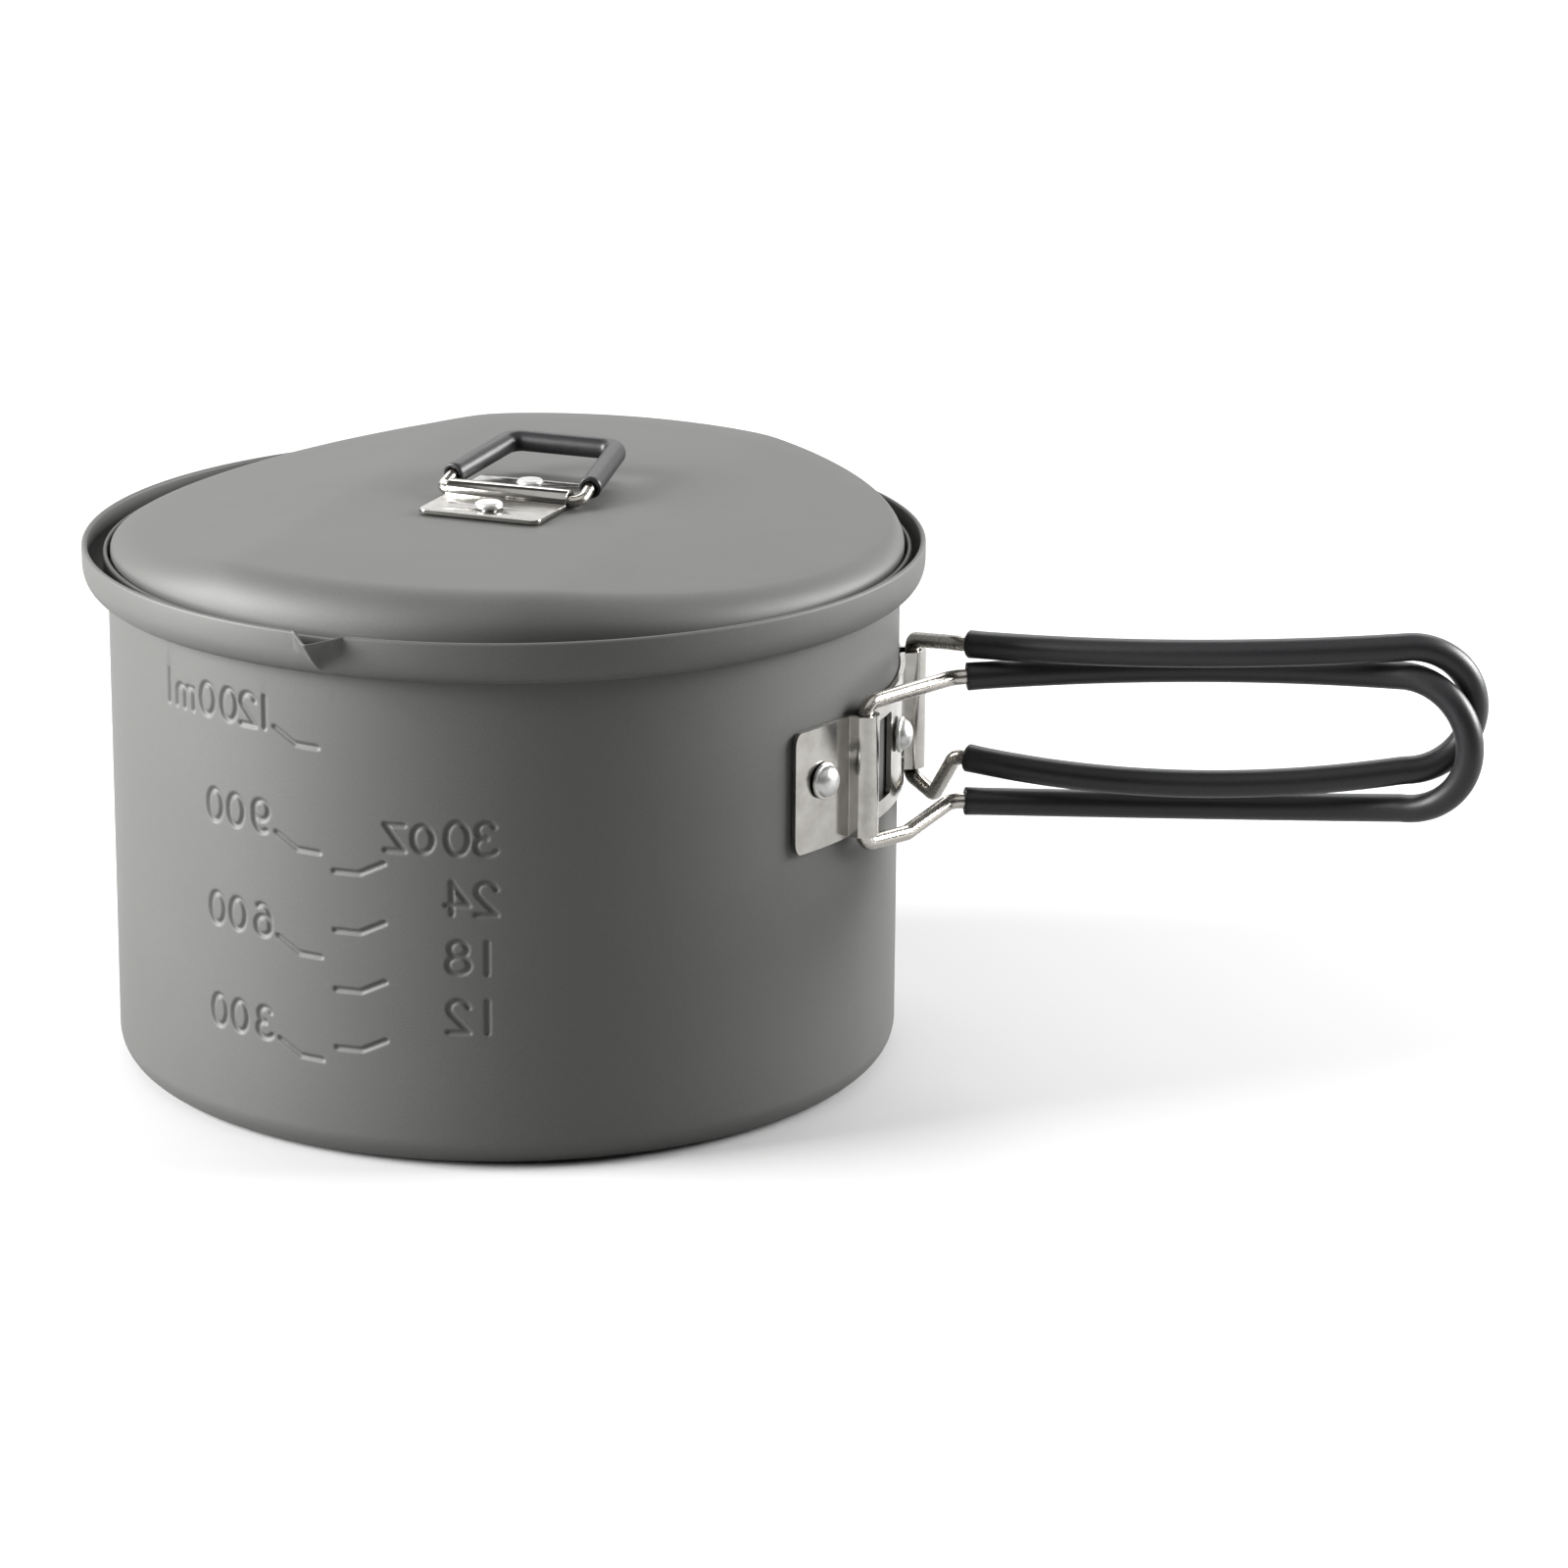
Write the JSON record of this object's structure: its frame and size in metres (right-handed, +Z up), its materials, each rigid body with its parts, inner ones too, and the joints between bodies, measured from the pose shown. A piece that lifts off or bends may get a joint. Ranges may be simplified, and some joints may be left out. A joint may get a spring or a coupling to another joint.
{
  "type": "cooking pot set",
  "caption": "hard-anodised camping pot with a pouring lip, a roof-shaped lid with a folding bail, and folding vinyl-sleeved wire handles in a riveted bracket",
  "frame": {"origin": "on the pot's axis, at the middle of its flat bottom", "axes": "+Z up, +X along the two open handle loops, +Y across them; the pouring lip looks towards -Y, slightly to -X"},
  "size_m": [0.2557, 0.1578, 0.1104],
  "materials": {
    "anodised": "hard anodised, grey, satin, fine even grain",
    "steel_sheet": "polished stainless sheet with bright cut edges",
    "steel_wire": "bright drawn stainless wire with faint tool marks",
    "rivet": "satin, light grey",
    "vinyl": "black dipped vinyl sleeve, semi-gloss"
  },
  "bodies": {
    "pot": {"pot_body": "anodised", "handle_bracket": "steel_sheet", "bracket_rivet_front": "rivet", "bracket_rivet_centre": "rivet", "bracket_rivet_rear": "rivet"},
    "lid": {"lid": "anodised", "lid_hinge_plate": "steel_sheet", "lid_rivet_front": "rivet", "lid_rivet_rear": "rivet"},
    "lid_handle": {"lid_handle_wire": "steel_wire", "lid_handle_sleeve": "vinyl"},
    "front_handle": {"front_handle_wire": "steel_wire", "front_handle_sleeve": "vinyl"},
    "rear_handle": {"rear_handle_wire": "steel_wire", "rear_handle_sleeve": "vinyl"}
  },
  "joints": [
    {"name": "lid_lift", "type": "slide", "parent": "pot", "child": "lid", "axis": [0, 0, 1], "range_m": [0, 0.12]},
    {"name": "lid_handle_hinge", "type": "hinge", "parent": "lid", "child": "lid_handle", "pos_m": [0.0018, -0.0033, 0.10445], "axis": [0.9877, -0.1564, 0], "range_deg": [0, 150]},
    {"name": "front_handle_hinge", "type": "hinge", "parent": "pot", "child": "front_handle", "pos_m": [0.07155, -0.02215, 0.0622], "axis": [0, 0, 1], "range_deg": [-156, 0]},
    {"name": "rear_handle_hinge", "type": "hinge", "parent": "pot", "child": "rear_handle", "pos_m": [0.07155, 0.02215, 0.0622], "axis": [0, 0, 1], "range_deg": [0, 156]}
  ]
}
